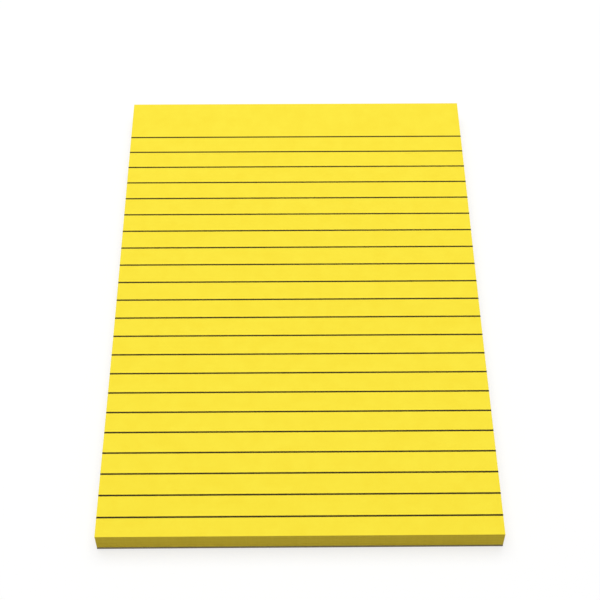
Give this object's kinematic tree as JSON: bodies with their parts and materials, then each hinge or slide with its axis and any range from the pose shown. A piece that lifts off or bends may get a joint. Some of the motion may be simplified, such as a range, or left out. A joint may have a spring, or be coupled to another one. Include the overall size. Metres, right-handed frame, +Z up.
{
  "type": "sticky note pad",
  "caption": "Tall rectangular pad of lined sticky notes, glued together along the head, on a thin card backing sheet.",
  "frame": {"origin": "centre of the underside of the backing sheet, where the pad rests", "axes": "+X along the printed rules, +Y towards the glued head of the notes, +Z up out of the writing face"},
  "size_m": [0.1016, 0.1524, 0.0062],
  "materials": {
    "note_paper": "bright yellow uncoated paper, matt",
    "rule_ink": "thin black printing ink, matt",
    "note_glue": "clear weak glue, dull",
    "backing_card": "plain grey-brown card, matt"
  },
  "bodies": {
    "root": {"note_block": "note_paper", "ruled_lines": "rule_ink", "adhesive_strip": "note_glue", "backing_sheet": "backing_card"}
  },
  "joints": []
}
